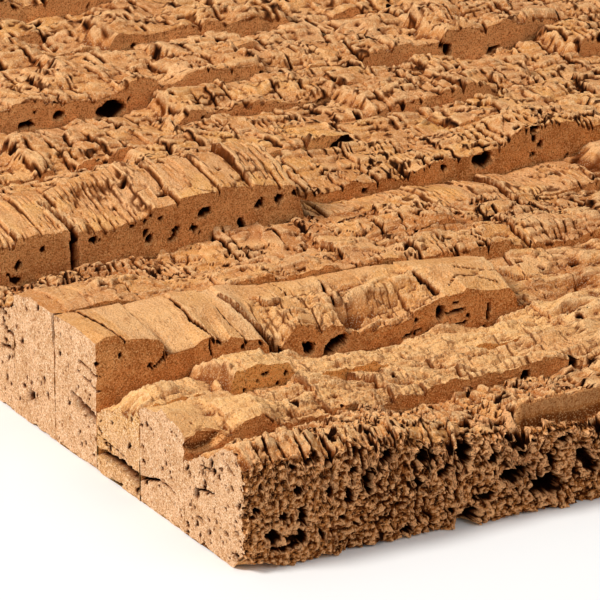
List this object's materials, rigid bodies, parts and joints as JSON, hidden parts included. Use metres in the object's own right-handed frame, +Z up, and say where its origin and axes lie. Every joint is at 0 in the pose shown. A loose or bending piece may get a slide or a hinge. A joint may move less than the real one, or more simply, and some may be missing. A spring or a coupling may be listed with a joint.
{
  "type": "cork bark slab",
  "caption": "Flat-backed slab of natural cork bark: sawn bark strips laid edge to edge with a rough, stepped and cracked bark face, used as a wall or terrarium backing.",
  "frame": {"origin": "middle of the slab's outline, on the flat back it lies on", "axes": "+X along the strips, +Y across the strips from the front strip to the back one, +Z up out of the rough bark face"},
  "size_m": [0.305, 0.4576, 0.05],
  "materials": {
    "cork_01": "rough natural cork",
    "cork_02": "rough natural cork",
    "cork_03": "rough natural cork",
    "cork_04": "rough natural cork",
    "cork_05": "rough natural cork",
    "cork_06": "rough natural cork",
    "cork_07": "rough natural cork",
    "cork_08": "rough natural cork",
    "cork_09": "rough natural cork",
    "cork_10": "rough natural cork",
    "cork_11": "rough natural cork",
    "cork_12": "rough natural cork",
    "cork_13": "rough natural cork",
    "cork_14": "rough natural cork",
    "cork_15": "rough natural cork",
    "cork_16": "rough natural cork",
    "cork_17": "rough natural cork",
    "cork_18": "rough natural cork"
  },
  "bodies": {
    "root": {"bark_strip_01": "cork_01", "bark_strip_02": "cork_02", "bark_strip_03": "cork_03", "bark_strip_04": "cork_04", "bark_strip_05": "cork_05", "bark_strip_06": "cork_06", "bark_strip_07": "cork_07", "bark_strip_08": "cork_08", "bark_strip_09": "cork_09", "bark_strip_10": "cork_10", "bark_strip_11": "cork_11", "bark_strip_12": "cork_12", "bark_strip_13": "cork_13", "bark_strip_14": "cork_14", "bark_strip_15": "cork_15", "bark_strip_16": "cork_16", "bark_strip_17": "cork_17", "bark_strip_18": "cork_18"}
  },
  "joints": []
}
